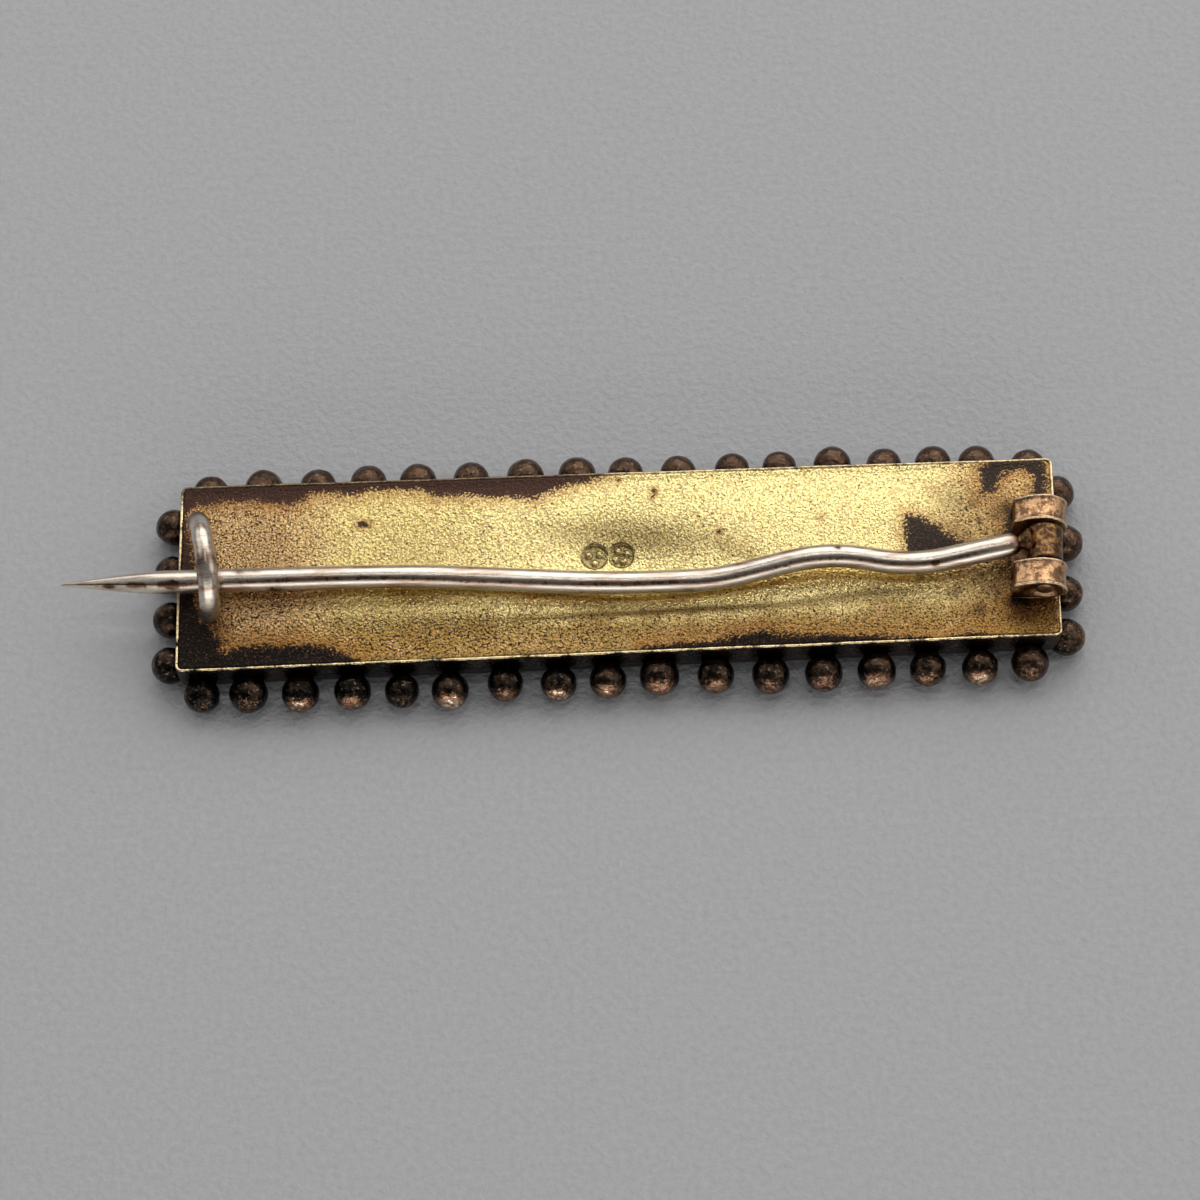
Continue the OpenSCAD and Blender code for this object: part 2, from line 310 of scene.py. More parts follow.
# each row: its middle, its step, its outward side, and for each grain how far it sits off its even place
# along X and Y in millimetres, its size, and how far it is rubbed bright and painted with glints
grain_rows = [
    ((0.4 * MM, half_width(0.4 * MM) + long_row_out), (pitch_long, row_slope * pitch_long), (0, 1), [
        (-0.25, -0.27, 1.0, 0.2), (-0.13, -0.14, 1.07, 0.5), (0, -0.08, 1.0, 0.4), (0, 0.03, 1.0, 0.35),
        (-0.06, -0.03, 1.04, 0.5), (0.03, 0, 1.0, 0.4), (0.19, 0.06, 1.02, 0.55), (0.2, 0.08, 1.02, 0.4),
        (0.08, 0.03, 0.98, 0.45), (0.16, 0.05, 0.97, 0.5), (0.27, 0.12, 0.94, 0.5), (0.06, 0.11, 0.95, 0.45),
        (0.13, 0.17, 1.01, 0.6), (0.13, 0.05, 0.97, 0.6), (0, 0.05, 1.0, 0.45), (-0.36, 0, 1.0, 0.4),
        (-0.43, -0.26, 0.96, 0.3)]),
    ((-0.33 * MM, -half_width(-0.33 * MM) - long_row_out), (pitch_long, -row_slope * pitch_long), (0, -1), [
        (0.35, 0.08, 0.96, 0.5), (0.11, 0.03, 1.04, 0.55), (0.1, -0.06, 1.02, 0.9), (0.1, -0.05, 1.0, 0.8),
        (-0.03, -0.09, 0.93, 0.55), (-0.21, -0.21, 1.01, 1.15), (-0.08, 0.05, 0.96, 0.75),
        (-0.03, -0.06, 0.97, 1.0), (-0.17, 0, 0.99, 0.9), (-0.2, 0.08, 1.07, 0.85),
        (-0.03, 0.03, 0.99, 0.85), (0.09, -0.1, 1.01, 0.75), (0.11, -0.1, 1.02, 0.75),
        (0.12, -0.08, 1.03, 1.0), (0.04, -0.05, 0.97, 0.75), (0, -0.13, 0.98, 1.05), (-0.12, 0, 1.0, 0.65)]),
    ((-half_len - 0.52 * MM, -0.2 * MM), (0, pitch_end), (-1, 0), [
        (0.04, 0.08, 1.0, 0.5), (0, 0, 0.99, 0.4), (0, 0, 0.97, 0.25), (0, 0, 1.0, 0.3)]),
    ((half_len + 0.3 * MM, -0.33 * MM), (0, pitch_end), (1, 0), [
        (-0.05, 0, 1.0, 0.7), (0, -0.2, 0.98, 0.6), (0.14, -0.03, 1.0, 0.6), (-0.11, 0.15, 0.97, 0.6)])
]
centres, sizes, wear_and_glint_levels, outwards = [], [], [], []
for middle, step, outward, chart in grain_rows:
    for k, (off_x, off_y, size, wear_and_glint_level) in enumerate(chart):
        steps = k - (len(chart) - 1) / 2
        at_x = middle[0] + step[0] * steps + off_x * MM
        at_y = middle[1] + step[1] * steps + off_y * MM
        centres.append((at_x, at_y, grain_r * size))
        sizes.append(size)
        wear_and_glint_levels.append(wear_and_glint_level)
        outwards.append((outward[0] * wear_out, outward[1] * wear_out, wear_up))
points = bpy.data.meshes.new("grain_points")
points.from_pydata(centres, [], [])
points.attributes.new("size", "FLOAT", "POINT").data.foreach_set("value", sizes)
grains_tree, grains_sockets = grain_tree()
mesh = grown_mesh(grains_tree, grains_sockets, {
    "Radius": grain_r, "Unevenness": grain_uneven, "Seed": grain_seed, "Metal": oxidised_brass}, points)
mesh.name = "grains"
places = np.array([v.co for v in mesh.vertices]).reshape(len(centres), -1, 3)
from_centre = (places - np.array(centres)[:, None, :]) / grain_r
towards = (from_centre * np.array(outwards)[:, None, :]).sum(axis=2)
facing = np.clip((towards - wear_from) / wear_over, 0, 1)
wear_and_glint = (facing * np.array(wear_and_glint_levels)[:, None]).ravel()
mesh.attributes.new("wear_and_glint", "FLOAT", "POINT").data.foreach_set("value", wear_and_glint.astype(np.float32))
placed_piece("grains", mesh, oxidised_brass, "case")

# The back plate
# A sheet of gilt brass let into the case just under its rim. Its face has the fine pebbled grain of a cast
# or acid-dipped sheet. It is dished from handling, and dark tarnish creeps in from its edges.
plate_low, plate_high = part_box("back_plate")
plate_z = plate_high.z
plate_inset = 0.13 * MM
edge_drop = 0.015 * MM
edge_reach = 0.24 * MM
plate_corner_r = 0.22 * MM
coarse_step = 0.13 * MM
fine_step = 0.035 * MM
# the plate's grid is fine round its two wells
wells_x = (-1.9 * MM, 1.2 * MM)
wells_y = (-0.5 * MM, 1.4 * MM)

# each row is one dent or rise: its middle, its half length and half width, its height, and its turn
dents = [
    (0.7, -0.05, 4.4, 2.6, -0.36, -6),
    (13.0, 2.2, 3.0, 1.6, 0.05, -6),
    (7.0, 2.4, 3.0, 1.3, 0.05, 8),
    (-9.5, 1.0, 4.0, 2.2, -0.06, 4),
    (-15.6, 2.6, 3.0, 1.6, 0.05, 0),
    (-5.2, 3.0, 2.0, 1.0, 0.03, 20),
    (18.6, 1.2, 1.9, 3.6, -0.09, 8),
    (16.6, -2.2, 1.6, 0.8, -0.03, 20),
    (-18.6, -3.4, 2.2, 1.2, -0.05, 15),
    (6.8, -0.6, 2.2, 1.0, -0.05, 10),
    (11.6, -3.4, 3.6, 0.8, 0.03, 0)
]
crown_high = 0.13 * MM
crown_fall = 0.0054 / MM
crease_y = -2.5 * MM
crease_half = 0.35 * MM
crease_deep = 0.09 * MM
crease_from = -15 * MM
crease_to = 15 * MM
# two long waves in which the crease wanders across the plate: how far each goes, and its length over 2 pi
crease_waves = ((0.35 * MM, 8 * MM), (0.25 * MM, 5 * MM))
# two shallow round wells with plain raised pips stand side by side by the middle: each row is a well's
# middle, its radius and its count of pips
wells = [(-1.0 * MM, 0.42 * MM, 0.62 * MM, 3), (0.28 * MM, 0.46 * MM, 0.6 * MM, 4)]
well_deep = 0.13 * MM
well_dark = 0.6
well_soft = 0.03 * MM
pip_r = 0.17 * MM
pip_high = 0.12 * MM
pip_ring = 0.3 * MM
pip_turn = 0.3


def spaced(low, high, fine):
    """Places from low to high, close together inside the fine stretch and wider apart outside it."""
    parts = []
    for a, b, step in (
        (low, fine[0], coarse_step), (fine[0], fine[1], fine_step), (fine[1], high, coarse_step)
    ):
        parts.append(np.linspace(a, b, max(2, math.ceil((b - a) / step)), endpoint=False))
    return np.concatenate(parts + [[high]])


def falling(u):
    """A soft step from one, far below nought, to nothing, far above it."""
    return 0.5 - 0.5 * np.tanh(u / 2)


def in_oval(x, y, middle, halves, turn):
    """Where places in metres lie in an oval charted in millimetres, as shares of its half sizes, squared."""
    t = math.radians(turn)
    ahead, aside = x / MM - middle[0], y / MM - middle[1]
    u = (ahead * math.cos(t) + aside * math.sin(t)) / halves[0]
    v = (-ahead * math.sin(t) + aside * math.cos(t)) / halves[1]
    return u * u + v * v


def pip_places(cx, cy, pips):
    """The middles of the pips that stand round the middle of a well."""
    turns = [2 * math.pi * (k + pip_turn) / pips for k in range(pips)]
    return [(cx + pip_ring * math.cos(a), cy + pip_ring * math.sin(a)) for a in turns]


def plate_height(x, y):
    """How far the plate's face stands over its level at places given in metres."""
    z = crown_high - crown_fall * y * y
    for cx, cy, half_l, half_w, high, turn in dents:
        z += high * MM * np.exp(-1.6 * in_oval(x, y, (cx, cy), (half_l, half_w), turn))
    (far_wave, far_length), (near_wave, near_length) = crease_waves
    bend = far_wave * np.sin(x / far_length) - near_wave * np.cos(x / near_length)
    along = falling((crease_from - x) / MM) * falling((x - crease_to) / MM)
    z -= crease_deep * along * falling(2 * (y - crease_y - bend) / crease_half)
    for cx, cy, r, pips in wells:
        z -= well_deep * falling((np.hypot(x - cx, y - cy) - r) / well_soft)
        for px, py in pip_places(cx, cy, pips):
            z += pip_high * np.exp(-(np.hypot(x - px, y - py) / pip_r) ** 4)
    return z


def old_dirt_and_shade(x, y):
    """How dark these places are painted: old polish between the pips of the wells, and the smudges, dirt on
    the plate and painted shade hard by the hinge and the hook.
    """
    dirt_and_shade = np.zeros_like(x)
    for cx, cy, r, pips in wells:
        inside = falling((np.hypot(x - cx, y - cy) - r) / well_soft)
        for px, py in pip_places(cx, cy, pips):
            inside *= 1 - np.exp(-(np.hypot(x - px, y - py) / pip_r) ** 4)
        dirt_and_shade = np.maximum(dirt_and_shade, well_dark * inside)
    for cx, cy, reach, dark in smudges_and_shade:
        dirt_and_shade = np.maximum(dirt_and_shade, dark * np.exp(-in_oval(x, y, (cx, cy), (reach, reach), 0)))
    return dirt_and_shade


def patina_and_painted_shade(x, y):
    """How deep in a cloud of olive patina and painted shade these places lie, in metres."""
    patina_and_shade = np.zeros_like(x)
    for cx, cy, half_l, half_w, turn, dark in patina_and_shade_clouds:
        patina_and_shade = np.maximum(patina_and_shade, dark * np.exp(-in_oval(x, y, (cx, cy), (half_l, half_w), turn) ** 1.3))
    return patina_and_shade


def plate_half(x):
    """Half the plate's width at x, with its corners rounded."""
    to_end = np.minimum(half_len - plate_inset - np.abs(x), plate_corner_r)
    lost = plate_corner_r - np.sqrt(np.maximum(plate_corner_r ** 2 - (plate_corner_r - to_end) ** 2, 0))
    return half_width(x) - plate_inset - lost


# each outline is one dark stain, its corners in millimetres along and across the plate; the last, along the
# hinge leaf's outer edge, is painted shade
stains = [
    [(-21.5, 5.4), (-21.5, 3.0), (-20.9, 3.1), (-20.4, 3.85), (-18, 4.1), (-15.8, 3.8), (-15.1, 3.9),
     (-14.6, 4.4), (-12.5, 4.15), (-11.9, 4.4), (-9.4, 4.3), (-8.5, 3.9), (-6.5, 3.85), (-3.9, 3.6),
     (-2.3, 4.2), (-0.4, 4.7), (-0.4, 5.4)],
    [(-21.5, 3.2), (-20.7, 3.1), (-20.35, 1.4), (-20.15, 0.2), (-20.1, -1.2), (-19.8, -2.2), (-19.2, -2.9),
     (-18.6, -3.4), (-18.9, -3.9), (-17, -3.7), (-15.4, -3.75), (-13.7, -3.9), (-12.3, -4.6), (-12.3, -5.4),
     (-21.5, -5.4)],
    [(1.2, -4.55), (3.2, -4.3), (4.5, -4.35), (5.5, -4.0), (6.9, -3.85), (8.2, -4.1), (10.2, -4.2),
     (12.6, -4.4), (14.8, -4.55), (14.8, -5.4), (1.2, -5.4)],
    [(17.5, 2.9), (17.6, 4.35), (18.3, 4.7), (20.5, 4.6), (20.7, 4.0), (20.6, 2.7), (20, 2.7), (20.1, 3.7),
     (19.7, 4.15), (18.9, 4.1), (18.4, 3.6), (18.1, 2.9)],
    [(13.85, -0.1), (13.9, 1.85), (14.3, 1.8), (15, 1.45), (15.6, 1.15), (16, 0.7), (16.6, 0.3),
     (16.5, -0.3)],
    [(15.6, -4.62), (17.4, -4.4), (17.6, -4.6), (17.2, -5), (15.6, -5)],
    # painted shade along the hinge leaf's outer edge
    [(18.75, 2.1), (19.4, 2.2), (19.6, -3.1), (18.7, -3.05), (18.9, -1.6), (18.5, 0.6)]
]
# each row is one small spot: its middle and its radius
spots = [
    (1.9, 3.75, 0.12), (1.85, 3.5, 0.08), (5.0, 1.4, 0.07), (0.2, 4.4, 0.06), (-12.25, 2.56, 0.13),
    (-12.05, 2.5, 0.14), (-11.85, 2.45, 0.11), (9.9, 1.95, 0.05)
]
# each row is one soft smudge: its middle, its reach in millimetres, and how dark it is; the smudges hard
# against the hinge and at the hook's foot and end paint the shade there, the others are dirt
smudges_and_shade = [
    (18.6, -0.4, 1.5, 0.7), (19.3, -3.2, 0.9, 0.75), (18.4, 1.9, 0.8, 0.6), (16.4, 0.6, 1.6, 0.35),
    (-19.3, -2.2, 0.9, 0.7), (-20.0, 2.2, 0.9, 0.45), (16.2, 2.6, 1.2, 0.3), (20.2, -3.4, 1.0, 0.4),
    (17.2, -3.2, 0.35, 0.7), (16.0, -2.3, 0.3, 0.6), (14.5, -1.4, 0.3, 0.6), (17.1, 2.4, 0.4, 0.6),
    (17.4, 1.5, 0.3, 0.6), (16.7, 0.9, 0.4, 0.5), (18.0, -2.2, 0.4, 0.5),
    (18.7, 2.1, 0.5, 0.9), (18.8, -2.9, 0.5, 0.9), (18.6, 0.4, 0.6, 0.8)
]
# each row is one soft olive cloud in the gilding, olive patina with painted shade in the dents, along the
# crease
# and by the hinge: its middle, its half length and half width, its turn, and how dark it is
patina_and_shade_clouds = [
    (0.9, 1.4, 4.6, 0.85, -6, 0.55), (5.4, 0.6, 2.2, 0.55, -24, 0.45), (-2.9, 1.2, 1.8, 0.5, 22, 0.2),
    (3.0, -2.65, 8.5, 0.2, 1, 1.0), (10.5, -2.3, 4.5, 0.24, 5, 0.7), (-9.0, -2.8, 5.0, 0.5, -3, 0.25),
    (3.0, -3.5, 7.0, 0.3, 0, 0.2), (-17.5, 0.8, 1.4, 2.6, 0, 0.15),
    (18.2, -0.4, 2.4, 3.4, 0, 0.35), (16.6, 2.6, 2.2, 1.3, -20, 0.28), (-8.5, 0.6, 4.5, 1.6, 4, 0.15)
]


def stain_edge(x, y):
    """Distance in millimetres to the edge of the nearest stain, less than nothing inside one."""
    spot = np.column_stack([x, y]) / MM
    nearest = np.full(len(spot), 9.0)
    for outline in stains:
        corners = np.array(outline)
        apart = np.full(len(spot), 9.0)
        inside = np.zeros(len(spot), bool)
        for a, b in zip(corners, np.roll(corners, -1, axis=0)):
            along = np.clip((spot - a) @ (b - a) / ((b - a) @ (b - a)), 0, 1)
            apart = np.minimum(apart, np.linalg.norm(spot - a - along[:, None] * (b - a), axis=1))
            if a[1] != b[1]:
                crosses = (a[1] > spot[:, 1]) != (b[1] > spot[:, 1])
                side = a[0] + (spot[:, 1] - a[1]) * (b[0] - a[0]) / (b[1] - a[1])
                inside ^= crosses & (spot[:, 0] < side)
        nearest = np.minimum(nearest, np.where(inside, -apart, apart))
    for cx, cy, r in spots:
        nearest = np.minimum(nearest, 3 * (np.linalg.norm(spot - (cx, cy), axis=1) - r))
    return nearest


# Brass under a thin wash of gold: pale yellow where it shines, tan and pitted by the catch, bronze along
# the near side, where its darker tone also paints shade, with olive patina and painted shade in the dents
# and along the crease, painted shade hard by the hinge and the hook, and brown-black tarnish that has ragged
# edges, painted lighter to the far side and with a painted sheen on its pebbles. Its pebbles are about
# 0.12 mm apart.
gilt_brass, tree, at_mm = new_finish("gilt_brass")
where = add_node(tree, "ShaderNodeSeparateXYZ", {}, {"Vector": at_mm})
cloud, waver, grit, pits, ragged = [
    add_node(tree, "ShaderNodeTexNoise", {}, {"Vector": at_mm, "Scale": s, "Detail": d, "Roughness": r})
    for s, d, r in ((0.3, 5, 0.6), (1.1, 5, 0.65), (8.5, 2, 0.55), (9, 2, 0.6), (1.8, 9, 0.78))]
x_cloudy = add_node(tree, "ShaderNodeMath", {"operation": "MULTIPLY_ADD"}, {
    0: cloud, 1: 4.0, 2: where.outputs["X"]})
x_wavy = add_node(tree, "ShaderNodeMath", {"operation": "MULTIPLY_ADD"}, {0: waver, 1: 2.6, 2: x_cloudy})
y_wavy = add_node(tree, "ShaderNodeMath", {"operation": "MULTIPLY_ADD"}, {
    0: cloud, 1: 3.2, 2: where.outputs["Y"]})
gold, _ = lay_over(tree, "EFDC9A", "CDB878", x_wavy, -1, -7, 0.75)
gold, tan_zone = lay_over(tree, gold, "C29E72", x_wavy, -8.6, -13, 0.92)
gold, hinge_zone = lay_over(tree, gold, "D2A973", x_wavy, 17.6, 21.4, 0.8)
# partly painted shade: a darker bronze along the near side, where the sheet falls away from the light
gold, bronze_and_shade_zone = lay_over(tree, gold, "88622D", y_wavy, -0.2, -1.9, 0.8)
gold, _ = lay_over(tree, gold, "DDB389", waver, 0.52, 0.7, 0.35)
# olive patina and painted shade in the dents and along the crease
patina_and_shade = add_node(tree, "ShaderNodeAttribute", {"attribute_name": "patina_and_shade"})
gold, _ = lay_over(tree, gold, "5C4523", patina_and_shade.outputs["Fac"], 0, 1, curve="LINEAR")
pebbles = add_node(tree, "ShaderNodeTexVoronoi", {"feature": "SMOOTH_F1"}, {
    "Vector": at_mm, "Scale": 8, "Smoothness": 0.3, "Randomness": 1})
gold, _ = lay_over(tree, gold, "80602E", pebbles, 0.4, 0.7, 0.5)
worn_ends = add_node(tree, "ShaderNodeMath", {"operation": "MAXIMUM"}, {0: tan_zone, 1: hinge_zone})
worn_zones = add_node(tree, "ShaderNodeMath", {"operation": "MAXIMUM"}, {0: worn_ends, 1: bronze_and_shade_zone})
pit_level = add_node(tree, "ShaderNodeMapRange", {}, {"Value": worn_zones, "To Min": 0.615, "To Max": 0.54})
pit_over = add_node(tree, "ShaderNodeMath", {"operation": "SUBTRACT"}, {0: pits, 1: pit_level})
gold, _ = lay_over(tree, gold, "33241A", pit_over, 0, 0.03, 0.95)
edge = add_node(tree, "ShaderNodeAttribute", {"attribute_name": "stain_edge"})
ragged_wide = add_node(tree, "ShaderNodeMath", {"operation": "ADD"}, {0: ragged, 1: edge.outputs["Fac"]})
ragged_edge = add_node(tree, "ShaderNodeMath", {"operation": "MULTIPLY_ADD"}, {
    0: grit, 1: -1.3, 2: ragged_wide})
gold, _ = lay_over(tree, gold, "8C5F33", ragged_edge, 0.9, -0.2, 0.6)
# old polish in the wells, dirt, and painted shade hard by the hinge and the hook
dirt_and_shade = add_node(tree, "ShaderNodeAttribute", {"attribute_name": "dirt_and_shade"})
gold, _ = lay_over(tree, gold, "3A2617", dirt_and_shade.outputs["Fac"], 0, 1, curve="LINEAR")
tarnish_and_sheen, _ = lay_over(tree, "42302A", "38312C", where.outputs["X"], 8, 12, curve="LINEAR")
# painted light: the tarnish stays lighter and browner to the far side and turns black to the near side
tarnish_and_sheen, _ = lay_over(tree, tarnish_and_sheen, "1D1A18", y_wavy, 3.8, -1)
# painted sheen: lighter pebble tops in the tarnish
tarnish_and_sheen, _ = lay_over(tree, tarnish_and_sheen, "6E5442", grit, 0.52, 0.68, 0.35)
gold, stained = lay_over(tree, gold, tarnish_and_sheen, ragged_edge, -0.05, -0.2)
plate_rough = add_node(tree, "ShaderNodeMapRange", {}, {"Value": stained, "To Min": 0.17, "To Max": 0.4})
pebble_height = add_node(tree, "ShaderNodeMath", {"operation": "MULTIPLY_ADD"}, {
    0: pebbles, 1: -0.3, 2: grit})
pebble_depth = add_node(tree, "ShaderNodeMapRange", {}, {
    "Value": worn_zones, "To Min": 0.036 * MM, "To Max": 0.062 * MM})
set_shader(tree, gold, plate_rough, pebble_height, 1, pebble_depth)

plate_end = half_len - plate_inset
across_places = spaced(-half_width(0) + plate_inset, half_width(0) - plate_inset, wells_y)
across_shares = across_places / across_places[-1]
along_places = spaced(-plate_end, plate_end, wells_x)
x, share = np.meshgrid(along_places, across_shares, indexing="ij")
y = share * plate_half(x)
z = plate_z + plate_height(x, y)
from_edge = np.minimum(plate_half(x) - np.abs(y), plate_end - np.abs(x))
z += (rim_z - edge_drop - z) * np.exp(-(from_edge / edge_reach) ** 2)
count_x, count_y = x.shape
index = np.arange(count_x * count_y).reshape(count_x, count_y)
quads = np.stack([index[:-1, :-1], index[1:, :-1], index[1:, 1:], index[:-1, 1:]], axis=-1).reshape(-1, 4)
border = np.concatenate([index[:-1, 0], index[-1, :-1], index[:0:-1, -1], index[0, :0:-1]])
top = np.column_stack([x.ravel(), y.ravel(), z.ravel()])
under = top[border].copy()
under[:, 2] = plate_low.z
first_under = len(top)
skirt = [
    (border[i - 1], first_under + (i - 1) % len(border), first_under + i, border[i])
    for i in range(len(border))
]
faces = [tuple(q) for q in quads.tolist()] + [tuple(int(v) for v in q) for q in skirt]
faces.append(tuple(first_under + i for i in range(len(border)))[::-1])
points = [tuple(p) for p in np.concatenate([top, under])]
back_sheet = new_piece("back_sheet", [(points, faces)], gilt_brass, "case")
x, y, z = np.array(points).T
for name, chart in (("stain_edge", stain_edge), ("dirt_and_shade", old_dirt_and_shade), ("patina_and_shade", patina_and_painted_shade)):
    attribute = back_sheet.data.attributes.new(name, "FLOAT", "POINT")
    attribute.data.foreach_set("value", chart(x, y).astype(np.float32))
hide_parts("back_plate")

# The catch
# A hook of round nickel silver wire that stands on the back plate. Its foot is soldered down on the near
# side, and its open end is filed round. Fingers keep its crown bright.
hook_at = Vector((-19.75, 0.28, 0)) * MM + Vector((0, 0, plate_z))
hook_r = 0.5 * MM
hook_bend_r = 2.27 * MM
hook_centre_up = 0.42 * MM
hook_end_deg = 32
hook_foot_deg = 190
hook_turn_deg, hook_lean_deg = 10, 10
hook_turn = Matrix.Rotation(math.radians(hook_turn_deg), 4, "Z")
hook_lean = Matrix.Rotation(math.radians(hook_lean_deg), 4, "Y")
hook_steps = 48
# each row is one dent or swelling of the hook: where round its bend it lies and how far it reaches, in
# degrees, and the share of the radius that it adds
hook_swells = [(92, 9, -0.07), (62, 8, -0.05), (118, 9, 0.05), (160, 12, 0.04)]
# each row is one brown ring: how far from the hook's free end it lies, its reach, and how dark it is; the
# first is old polish, the second a painted dark reflection across the middle of the bend
hook_rings = [(0.6, 0.35, 0.6), (3.1, 0.3, 0.45)]
# the foot darkens near the plate: brown solder and painted shade where it meets the plate
foot_dark, foot_reach = 0.35, 0.2
cap_steps = 8
tip_share = 0.004
wire_sides = 40


def wire_tree():
    """A tree that skins a round wire along a curve, as thick as the curve's points say."""
    tree, sockets, given = new_tree("round_wire", {
        "Path": "Geometry", "Wire radius": "Float", "Sides": "Int", "Metal": "Material"})
    section = add_node(tree, "GeometryNodeCurvePrimitiveCircle", {}, {
        "Resolution": given["Sides"], "Radius": given["Wire radius"]})
    skin = add_node(tree, "GeometryNodeCurveToMesh", {}, {
        "Curve": given["Path"], "Profile Curve": section, "Fill Caps": True,
        "Scale": add_node(tree, "GeometryNodeInputRadius")})
    smooth = add_node(tree, "GeometryNodeSetShadeSmooth", {}, {"Geometry": skin})
    real = add_node(tree, "GeometryNodeRealizeInstances", {}, {"Geometry": smooth})
    cast = add_node(tree, "GeometryNodeSetMaterial", {}, {"Geometry": real, "Material": given["Metal"]})
    add_node(tree, "NodeGroupOutput", {}, {"Geometry": cast})
    return tree, sockets


def wire_mesh(path, shares, radius):
    """The mesh of a wire through the points of path, its radius at each a share of the full one."""
    curve = bpy.data.curves.new("path", "CURVE")
    curve.dimensions = "3D"
    spline = curve.splines.new("POLY")
    spline.points.add(len(path) - 1)
    for point, place, share in zip(spline.points, path, shares):
        point.co = (*place, 1)
        point.radius = share
    return grown_mesh(round_wire, wire_sockets, {
        "Wire radius": radius, "Sides": wire_sides, "Metal": nickel_silver}, curve)


def wire_piece(name, mesh, body):
    """A wire's piece, its doubled points merged and its faces turned outwards."""
    form = bmesh.new()
    form.from_mesh(mesh)
    bmesh.ops.remove_doubles(form, verts=form.verts, dist=0.001 * MM)
    bmesh.ops.recalc_face_normals(form, faces=form.faces)
    form.to_mesh(mesh)
    form.free()
    return placed_piece(name, mesh, nickel_silver, body)


def round_caps(path, shares, radius, at_start, at_end):
    """The path with its ends carried on by a half ball's rings, where the wire shrinks to a point."""
    path, shares = [Vector(p) for p in path], list(shares)
    for wanted, end in ((at_start, 0), (at_end, -1)):
        if not wanted:
            continue
        tip, before = path[end], path[1 if end == 0 else -2]
        ahead = (tip - before).normalized()
        full = shares[end]
        more = []
        for k in range(1, cap_steps + 1):
            a = math.radians(90 * k / cap_steps)
            more.append((tip + ahead * radius * full * math.sin(a), max(full * math.cos(a), tip_share)))
        if end == 0:
            path = [p for p, s in reversed(more)] + path
            shares = [s for p, s in reversed(more)] + shares
        else:
            path += [p for p, s in more]
            shares += [s for p, s in more]
    return path, shares


# Nickel silver, an off-white alloy: worn to a soft polish with fine scratches along the wire, a warm brown
# film in the lows, and a few brown pits. The same browns paint the shade at the hook's foot and dark
# reflections along the hook and the stem.
nickel_silver, tree, at_mm = new_finish("nickel_silver")
along_x = add_node(tree, "ShaderNodeMapping", {}, {"Vector": at_mm, "Scale": (0.12, 1, 1)})
dull, scratches, brown_noise = [
    add_node(tree, "ShaderNodeTexNoise", {}, {"Vector": at, "Scale": s, "Detail": d, "Roughness": r})
    for at, s, d, r in ((along_x, 2.2, 5, 0.65), (along_x, 14, 4, 0.7), (at_mm, 3.2, 6, 0.7))]
grime_and_shade_share = add_node(tree, "ShaderNodeAttribute", {"attribute_name": "grime_and_shade"}).outputs["Fac"]
silver, _ = lay_over(tree, "E2D8CA", "B2907A", dull, 0.45, 0.68)
# brown film where the attribute says, which also holds painted shade and painted dark reflections
silver, _ = lay_over(tree, silver, "7A5F4A", grime_and_shade_share, 0, 1 / 1.8, curve="LINEAR")
brown_level = add_node(tree, "ShaderNodeMath", {"operation": "MULTIPLY_ADD"}, {
    0: grime_and_shade_share, 1: 0.45, 2: brown_noise})
silver, _ = lay_over(tree, silver, "4A3428", brown_level, 0.68, 0.84, 0.85)
wire_rough = add_node(tree, "ShaderNodeMapRange", {}, {
    "Value": scratches, "From Min": 0.3, "From Max": 0.7, "To Min": 0.24, "To Max": 0.37})
set_shader(tree, silver, wire_rough, scratches, 0.35, 0.012 * MM)

round_wire, wire_sockets = wire_tree()
hook_path, hook_shares = [], []
for k in range(hook_steps + 1):
    turn = hook_end_deg + (hook_foot_deg - hook_end_deg) * k / hook_steps
    a = math.radians(turn)
    on_arc = Vector((0, hook_bend_r * math.cos(a), hook_bend_r * math.sin(a)))
    standing = hook_lean @ on_arc + Vector((0, 0, hook_centre_up))
    hook_path.append(hook_at + hook_turn @ standing)
    hook_shares.append(
        1 + sum(gain * math.exp(-((turn - at) / reach) ** 2) for at, reach, gain in hook_swells))
hook_path, hook_shares = round_caps(hook_path, hook_shares, hook_r, True, False)
catch_wire = wire_piece("catch_wire", wire_mesh(hook_path, hook_shares, hook_r), "case")
grime_and_shade = []
for vertex in catch_wire.data.vertices:
    from_end = (vertex.co - hook_path[cap_steps]).length / MM
    up = (vertex.co.z - plate_z) / MM
    rings_here = sum(dark * math.exp(-((from_end - at) / reach) ** 2) for at, reach, dark in hook_rings)
    grime_and_shade.append(rings_here + foot_dark * math.exp(-(up / foot_reach) ** 2))
catch_wire.data.attributes.new("grime_and_shade", "FLOAT", "POINT").data.foreach_set("value", grime_and_shade)
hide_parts("catch_hook")

# The hinge
# Copper-coloured brass sheet, rolled round the rivet into two knuckles whose tails run down to a leaf that
# is soldered on the plate. The cut ends were hammered up into lips, which rubbing keeps bright.
hinge_joint = frame["joints"][0]
hinge_at = Vector(hinge_joint["pos_m"])
hinge_axis = Vector(hinge_joint["axis"]).normalized()
hinge_out = hinge_axis.cross(Vector((0, 0, 1)))
axis_up = hinge_at.z - plate_z
knuckle_r = 1.0 * MM
bore_r = 0.47 * MM
recess_r = 0.78 * MM
recess_deep = 0.18 * MM
seam = 0.02 * MM
leaf_t = 0.13 * MM
near_knuckle = (-2.95 * MM, -1.62 * MM)
middle_knuckle = (-1.46 * MM, 0.29 * MM)
far_knuckle = (0.43 * MM, 1.7 * MM)
web_in = 0.28 * MM
end_slope = 0.23 * MM
end_slope_top = 0.1 * MM
end_slope_reach = 0.5 * MM
around = 144
